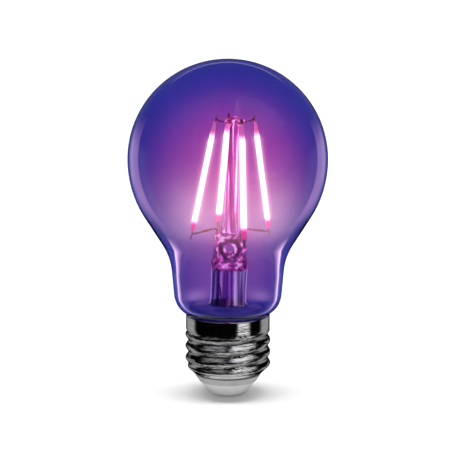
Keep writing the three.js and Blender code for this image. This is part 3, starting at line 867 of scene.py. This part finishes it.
def make_press():
    """The pinched end of the tube, with its blow hole."""
    press = press_blank()
    cutter = lathe(
        "blow_hole",
        [(0, -6), (1.35, -6), (1.2, -2.2), (1.05, 0), (1.2, 2.2), (1.35, 6), (0, 6)],
        32,
        matrix=Matrix.Translation((0, 0, HOLE_Z)) @ Matrix.Rotation(math.pi / 2, 4, "X"),
    )
    bite = press.modifiers.new("blow_hole", "BOOLEAN")
    bite.object = cutter
    bite.operation = "DIFFERENCE"
    bite.solver = "EXACT"
    bpy.context.view_layer.update()
    shaped = bpy.data.meshes.new_from_object(
        press.evaluated_get(bpy.context.evaluated_depsgraph_get())
    )
    press.modifiers.clear()
    press.data = shaped
    shaped.transform(Matrix.Scale(MM, 4) @ MOUNT @ Matrix.Scale(1 / MM, 4))
    bpy.data.objects.remove(cutter)
    finished(press, press_glass, "stem_glass", "stem_press")


def make_post():
    foot, top = PRESS_TOP_Z, BEAD_Z - 0.5
    profile = [
        (0, foot), (2.6, foot + 0.1), (2.35, foot + 0.8), (2.2, foot + 2), (2.05, foot + 6),
        (1.9, foot + 16), (1.7, foot + 26), (1.6, top - 2.2), (1.7, top - 1), (1.3, top - 0.2),
        (0, top),
    ]
    post = lathe("support_post_glass", profile, 48, matrix=MOUNT, warp=knobbly(0.05, 5.0))
    finished(post, post_glass, "stem_glass", "support_post")


def make_exhaust():
    """Narrow tube inside the stem, closed at its lower tip."""
    foot, top = EXHAUST_FOOT_Z, FLARE_TOP_Z - 0.1
    middle = foot + 13.8
    radius = EXHAUST_RADIUS
    bore = radius - 0.4
    profile = [
        (0, foot), (0.8, foot + 0.2), (1.5, foot + 1), (radius - 0.05, foot + 2.4),
        (radius, foot + 3.8), (radius, middle), (radius, top - 0.2), (radius - 0.05, top),
        (bore + 0.05, top), (bore, top - 0.2), (bore, middle), (bore, foot + 3.8),
        (0.8, foot + 2.8), (0, foot + 2.4),
    ]
    exhaust = lathe("exhaust_tube_glass", profile, 48, matrix=MOUNT)
    finished(exhaust, stem_glass, "stem_glass", "exhaust_tube")


def filament_angle(index):
    return FILAMENT_PHASE + index * 2 * math.pi / FILAMENT_COUNT


def make_bead():
    """Glass bead drawn out into a lobe round each hook wire."""
    rows, columns = 28, 64
    warp = knobbly(0.22, 1.3)
    lobes = [polar(1, filament_angle(i), -0.12).normalized() for i in range(FILAMENT_COUNT)]
    rings = []
    for i in range(rows + 1):
        rise = math.pi * (i / rows - 0.5)
        ring = []
        for k in range(columns):
            way = polar(math.cos(rise), 2 * math.pi * k / columns, math.sin(rise))
            size = BEAD_RADIUS
            for lobe in lobes:
                size += 1.9 * math.exp(-((way.angle(lobe) / 0.40) ** 2))
            ring.append(warp(Vector((way.x * size, way.y * size, BEAD_Z + way.z * size * 0.9))))
        rings.append(ring)
    mesh = mesh_from("top_bead_glass", *skin(rings), MOUNT)
    merged = bmesh.new()
    merged.from_mesh(mesh)
    bmesh.ops.remove_doubles(merged, verts=merged.verts, dist=0.00001)
    merged.to_mesh(mesh)
    merged.free()
    finished(new_object("top_bead_glass", mesh), bead_glass, "stem_glass", "top_bead")


make_flare()
make_press()
make_post()
make_exhaust()
make_bead()


# ---- filaments and wires ----------------------------------------------------------------------


def filament_point(index, along, clear):
    """A point so far along a filament from the foot of its coat, clear of it on the inside."""
    radius, z = Vector(FILAMENT_FOOT) + FILAMENT_SLOPE * along
    return polar(radius - clear, filament_angle(index), z)


def on_filament(piece, index):
    """Puts a piece drawn along +Z at the origin onto a filament; its own coordinates stay."""
    angle = filament_angle(index)
    along = polar(FILAMENT_SLOPE.x, angle, FILAMENT_SLOPE.y)
    across = Vector((-math.sin(angle), math.cos(angle), 0))
    matrix = Matrix((across, along.cross(across), along)).transposed().to_4x4()
    matrix.translation = filament_point(index, 0, 0)
    matrix = MOUNT @ matrix
    matrix.translation = matrix.translation * MM
    piece.matrix_world = matrix
    bpy.context.view_layer.update()
    return piece


def make_coat(index):
    """Silicone rod over the chips: an oval section with round ends and a faint bead per chip."""
    steps = 150
    rings = []
    for i in range(steps + 1):
        s = FILAMENT_LENGTH * i / steps
        end = min(s, FILAMENT_LENGTH - s, COAT_END)
        size = math.sqrt(1 - (1 - end / COAT_END) ** 2)
        size = max(size, 0.12) * (1 + 0.018 * math.cos(2 * math.pi * s / CHIP_PITCH))
        size *= mix(1.0, 0.5, soft_ramp(s, FILAMENT_LENGTH - 4.8, FILAMENT_LENGTH))
        size *= mix(0.62, 1.0, soft_ramp(s, 0, 2.4))
        rings.append(oval_ring(s, COAT_HALF_WIDTH * size, COAT_HALF_DEPTH * size, count=28))
    piece = on_filament(loft(f"filament_{index + 1}_phosphor", rings), index)
    piece.visible_glossy = False
    finished(piece, coat, "phosphor_coat", f"filament_{index + 1}_coat")


def make_tab(index, part, low, high):
    """Stamped end tab: a strip with a round free end and a slight crank."""
    steps = 14
    corner = 0.5
    rings = []
    for i in range(steps + 1):
        t = i / steps
        s = mix(low, high, t)
        free_end = min(s - low if part == "foot" else high - s, corner)
        half = 0.38 * math.sqrt(max(1 - (1 - free_end / corner) ** 2, 0.05))
        crank = Vector((0, 0.12 * math.sin(math.pi * t), 0))
        rings.append([p + crank for p in oval_ring(s, half, 0.11, 4.0, 20)])
    piece = on_filament(loft(f"filament_{index + 1}_{part}_plate", rings), index)
    finished(piece, lit_wire, "wire_metal", f"filament_{index + 1}_{part}_tab")


def make_support(index, seat):
    """Wire out of the press, bent over its edge, to the foot of a filament."""
    x, y = seat
    mouth = Vector((x, y, PRESS_TOP_Z + 0.2))
    end = filament_point(index, -0.55, 0.3)
    bend, approach = mouth.lerp(end, 0.1), mouth.lerp(end, 0.45)
    bend.z, approach.z = PRESS_TOP_Z + 0.75, PRESS_TOP_Z + 0.5
    points = [(x, y, PRESS_TOP_Z - 3.2), (x, y, PRESS_TOP_Z - 0.6), mouth, bend, approach, end]
    piece = wire(f"support_wire_{index + 1}_drawn", points)
    finished(piece, lit_wire, "wire_metal", f"support_wire_{index + 1}")


def make_hook(index):
    """Wire out of the bead to the head of a filament."""
    angle = filament_angle(index)
    mouth = polar(2.9, angle, BEAD_Z - 0.25)
    end = filament_point(index, FILAMENT_LENGTH + 0.5, 0.2)
    sag = mouth.lerp(end, 0.5)
    sag.z = BEAD_Z - 0.1
    piece = wire(f"hook_wire_{index + 1}_drawn", [polar(0.9, angle, BEAD_Z - 0.1), mouth, sag, end])
    finished(piece, lit_wire, "wire_metal", f"hook_wire_{index + 1}")


def make_lead(side, name):
    """Wire from the press down the tube to its pad on the driver board."""
    pad_z = box_mm(name)[0].z
    points = [
        (side * 3.4, 0, HOLE_Z - 0.2), (side * 3.45, 0, 41.0), (side * 3.2, -0.6, 36.5),
        (side * 2.1, -1.8, LEAN_Z + 3), (side * 2.3, -1.8, 20.0),
        MOUNT.inverted() @ Vector((side * 2.4, -1.8, pad_z)),
    ]
    finished(wire(f"{name}_drawn", points), wire_metal, "wire_metal", name)


SUPPORT_SEATS = [(4.1, 0), (-2.8, 0.9), (-4, 0), (2.9, -0.9)]

for number, seat in enumerate(SUPPORT_SEATS):
    make_coat(number)
    make_tab(number, "foot", -2.2, 0.8)
    make_tab(number, "head", FILAMENT_LENGTH - 0.8, FILAMENT_LENGTH + 1.4)
    make_support(number, seat)
    make_hook(number)
make_lead(-1, "lead_wire_left")
make_lead(1, "lead_wire_right")


# ---- cap --------------------------------------------------------------------------------------


def shell_radius(z, turn):
    """The thread, drawn in towards its foot and running out under the plain skirt."""
    wave = 0.5 + 0.5 * math.cos(2 * math.pi * ((z - RIM_Z + THREAD_DROP) / THREAD_PITCH - turn))
    root = ROOT_RADIUS - 1.65 * (1 - ramp(z, SHELL_FOOT_Z, 9)) ** 1.6
    threaded = root + THREAD_DEPTH * wave**0.85 * soft_ramp(z, SHELL_FOOT_Z + 0.6, 9.8)
    return mix(threaded, SKIRT_RADIUS, soft_ramp(z, RIM_Z - 5.3, RIM_Z - 4.6))


def make_shell():
    """Rolled screw shell with its turned rim."""
    steps, segments = 150, 192
    levels = [mix(SHELL_FOOT_Z, RIM_Z - 0.25, i / steps) for i in range(steps + 1)]
    outline = [(z, 0.0) for z in levels] + [(RIM_Z - 0.1, -0.06), (RIM_Z, -0.15)]
    outline += [(z, -SHELL_WALL) for z in reversed(levels)]
    turns = [k / segments for k in range(segments)]
    rings = [
        [polar(shell_radius(z, turn) + shift, 2 * math.pi * turn, z) for turn in turns]
        for z, shift in outline
    ]
    mesh = mesh_from("screw_shell_rolled", *skin(rings, closed=True))
    finished(new_object("screw_shell_rolled", mesh), nickel, "cap_nickel", "screw_shell")


def make_insulator():
    """Moulded bowl round the contact, with a ring that bears on the shell's foot."""
    profile = [
        (1.9, 1.1), (4.2, 1.1), (4.2, 0.36), (4.32, 0.26), (4.7, 0.28), (5.2, 0.5), (6.0, 1.15),
        (6.7, 1.95), (7.4, 2.85), (8.0, 3.65), (8.45, 4.2), (8.62, 4.34), (8.78, 4.36),
        (8.82, 4.44), (8.95, 4.6), (9.6, 5.55), (10.1, 6.3), (10.15, 6.45), (10.1, 6.56),
        (9.8, 6.6), (9.8, 8.5), (9.7, 8.6), (8.3, 8.6), (8.3, 5.6), (5.0, 2.7), (1.9, 2.4),
    ]
    piece = lathe("cap_insulator_moulded", profile, ring=True)
    finished(piece, insulator_plastic(), "insulator", "cap_insulator")


def make_contact():
    """Stamped centre contact with its rivet."""
    profile = [
        (0, 0), (3.3, 0), (3.6, 0.04), (3.8, 0.16), (3.9, 0.34), (3.9, 0.8), (1.6, 0.8),
        (1.55, 2.3), (1.4, 2.4), (0, 2.4),
    ]
    piece = lathe("centre_contact_stamped", profile, 64)
    finished(piece, contact_metal, "contact_metal", "centre_contact")


make_shell()
make_insulator()
make_contact()


# ---- CAD nodes that stay, each with its own finish --------------------------------------------

STAYING = [
    (
        finish_material(
            "cement", (0.62, 0.57, 0.46), (0.76, 0.71, 0.6), (0.8, 0.95), scale=1500,
            height=0.0001, strength=0.6,
        ),
        ["basing_cement"],
    ),
    (
        finish_material(
            "solder", (0.55, 0.56, 0.58), (0.72, 0.73, 0.74), (0.3, 0.55), metallic=1.0, scale=1200
        ),
        ["contact_solder", "shell_solder"],
    ),
    (wire_metal, ["live_wire", "neutral_wire"]),
    (
        finish_material(
            "copper", (0.55, 0.24, 0.10), (0.78, 0.40, 0.2), (0.25, 0.4), metallic=1.0, scale=600,
            stretch=(1, 1, 12),
        ),
        ["radio_antenna", "inductor"],
    ),
    (
        finish_material("filament_strip", (0.78, 0.76, 0.8), (0.9, 0.88, 0.92), (0.5, 0.7)),
        [f"filament_{index + 1}_strip" for index in range(FILAMENT_COUNT)],
    ),
    (
        finish_material(
            "circuit_board", (0.03, 0.14, 0.06), (0.06, 0.24, 0.10), (0.35, 0.5), scale=500
        ),
        ["driver_board"],
    ),
    (
        finish_material(
            "radio_board", (0.02, 0.04, 0.16), (0.05, 0.08, 0.26), (0.35, 0.5), scale=500
        ),
        ["radio_board"],
    ),
    (
        finish_material(
            "shield_metal", (0.55, 0.55, 0.57), (0.7, 0.7, 0.72), (0.25, 0.4), metallic=1.0,
            stretch=(8, 1, 1),
        ),
        ["radio_shield"],
    ),
    (
        finish_material("chip_plastic", (0.02, 0.02, 0.022), (0.05, 0.05, 0.055), (0.45, 0.6)),
        ["bridge_rectifier", "driver_ic"],
    ),
    (
        finish_material(
            "capacitor_sleeve", (0.03, 0.03, 0.05), (0.06, 0.06, 0.09), (0.25, 0.4),
            stretch=(1, 1, 0.2),
        ),
        ["smoothing_capacitor"],
    ),
    (
        finish_material("resistor_enamel", (0.35, 0.5, 0.6), (0.5, 0.64, 0.7), (0.4, 0.6)),
        ["fusible_resistor"],
    ),
]
for material, nodes in STAYING:
    for node in nodes:
        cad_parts[node].data.materials.clear()
        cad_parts[node].data.materials.append(material)


# ---- studio: floor, room, softbox and camera, in metres ---------------------------------------

FLOOR_HALF = 4
CAMERA_DISTANCE = 0.7
CAMERA_RISE = math.radians(11)
CAMERA_LENS = 179  # mm
CAMERA_TARGET = Vector((0.0, 0.0, 0.052))
CAMERA_AIM = Vector((0.00157, 0.0, 0.0499))
SOFTBOX_STEP = math.radians(10)  # between the suns
SOFTBOX_SUN = math.radians(22)  # across each sun
SOFTBOX_LIGHT = 3.7


def make_floor():
    corners = [(x * FLOOR_HALF, y * FLOOR_HALF, 0) for x, y in ((-1, -1), (1, -1), (1, 1), (-1, 1))]
    mesh = bpy.data.meshes.new("floor")
    mesh.from_pydata(corners, [], [range(len(corners))])
    floor = new_object("floor", mesh)
    material, graph, shader = new_material("floor_white")
    grain = graph.noise(graph.place(), 40)
    graph.fill(shader, {
        "Base Color": graph.two_colours(grain, (0.80, 0.80, 0.80), (0.82, 0.82, 0.82)),
        "Roughness": 1.0,
        "Specular IOR Level": 0.0,
        "Emission Color": (1, 1, 1),
        "Emission Strength": 0.07,
    })
    floor.data.materials.append(material)
    floor.visible_glossy = False
    floor.visible_transmission = False


def make_world():
    """White room for the floor; glass and metal see it white behind and dark in front."""
    world = bpy.data.worlds.new("room")
    bpy.context.scene.world = world
    graph = Graph(world)
    maths, times, fade, between = graph.maths, graph.times, graph.fade, graph.between
    x, y, z = graph.xyz(graph.add("TexCoord").outputs["Generated"])
    side = maths("ABSOLUTE", x)
    turn = maths("DIVIDE", maths("ARCTAN2", side, y), math.pi)

    def bands(*stops):
        """Light by degrees away from the back of the room."""
        return graph.colours(turn, [(degrees / 180, (light,) * 3) for degrees, light in stops])

    seen_through = bands((0, 1.0), (80, 1.0), (110, 0.8))
    side_strips = bands((0, 0.0), (26, 0.0), (34, 0.4), (70, 0.4), (80, 0.0))
    low_strips = bands((0, 0.0), (38, 0.0), (44, 0.4), (72, 0.4), (82, 0.0))
    lowered = fade(z, -0.22, -0.3)
    raised = maths("SUBTRACT", fade(z, 0.10, -0.05), lowered)
    strips = graph.vectors(
        "ADD", graph.scaled(side_strips, raised), graph.scaled(low_strips, lowered)
    )
    overhead = times(
        fade(z, 0.35, 0.7), fade(y, 0.1, -0.15), fade(side, 0.06, 0.2),
        maths("MULTIPLY_ADD", fade(x, -0.1, 0.1), 0.9, 0.3),
    )
    below = times(fade(z, -0.7, -0.95), 0.7)
    card = times(
        between(x, 0.42, 0.5, 0.8, 0.9), fade(y, 0.0, -0.1), between(z, -0.24, -0.19, -0.13, -0.08),
        2.5,
    )
    arc = times(between(z, 0.37, 0.40, 0.43, 0.46), fade(y, 0.80, 0.87), 0.65)
    plain = maths("ADD", maths("ADD", overhead, arc), maths("ADD", below, card))
    reflected = graph.vectors("ADD", strips, plain)
    path = graph.add("LightPath").outputs
    light = graph.mixed(path["Is Diffuse Ray"], (1, 1, 1), (0.3, 0.3, 0.3))
    light = graph.mixed(path["Is Glossy Ray"], light, reflected)
    light = graph.mixed(path["Is Transmission Ray"], light, seen_through)
    graph.fill(graph.nodes["Background"], {"Color": light})


def make_softbox():
    """A long softbox overhead, as a row of suns: the shadow spreads sideways and stays shallow."""
    side = (1.0, 0.8, 0.55)
    weights = [*reversed(side), 1.2, *side]
    tilts = [(k - len(side)) * SOFTBOX_STEP for k in range(len(weights))]
    falling = sum(weight * math.cos(tilt) for weight, tilt in zip(weights, tilts))
    for k, (weight, tilt) in enumerate(zip(weights, tilts)):
        lamp = bpy.data.lights.new(f"softbox_{k}", "SUN")
        lamp.energy = SOFTBOX_LIGHT * weight / falling
        lamp.angle = SOFTBOX_SUN
        sun = bpy.data.objects.new(f"softbox_{k}", lamp)
        sun.rotation_euler.y = tilt
        sun.visible_glossy = False
        sun.visible_transmission = False
        bpy.context.scene.collection.objects.link(sun)


def make_camera():
    camera = bpy.data.objects.new("camera", bpy.data.cameras.new("camera"))
    bpy.context.scene.collection.objects.link(camera)
    camera.data.lens = CAMERA_LENS
    camera.data.sensor_width = 36
    camera.data.clip_start = 0.01
    back = Vector((0, -math.cos(CAMERA_RISE), math.sin(CAMERA_RISE)))
    camera.location = CAMERA_TARGET + back * CAMERA_DISTANCE
    camera.rotation_mode = "QUATERNION"
    camera.rotation_quaternion = (CAMERA_AIM - camera.location).to_track_quat("-Z", "Y")
    bpy.context.scene.camera = camera


make_floor()
make_world()
make_softbox()
make_camera()
scene = bpy.context.scene
scene.view_settings.view_transform = "Standard"
scene.cycles.max_bounces = 24
scene.cycles.transmission_bounces = 24
scene.cycles.transparent_max_bounces = 16
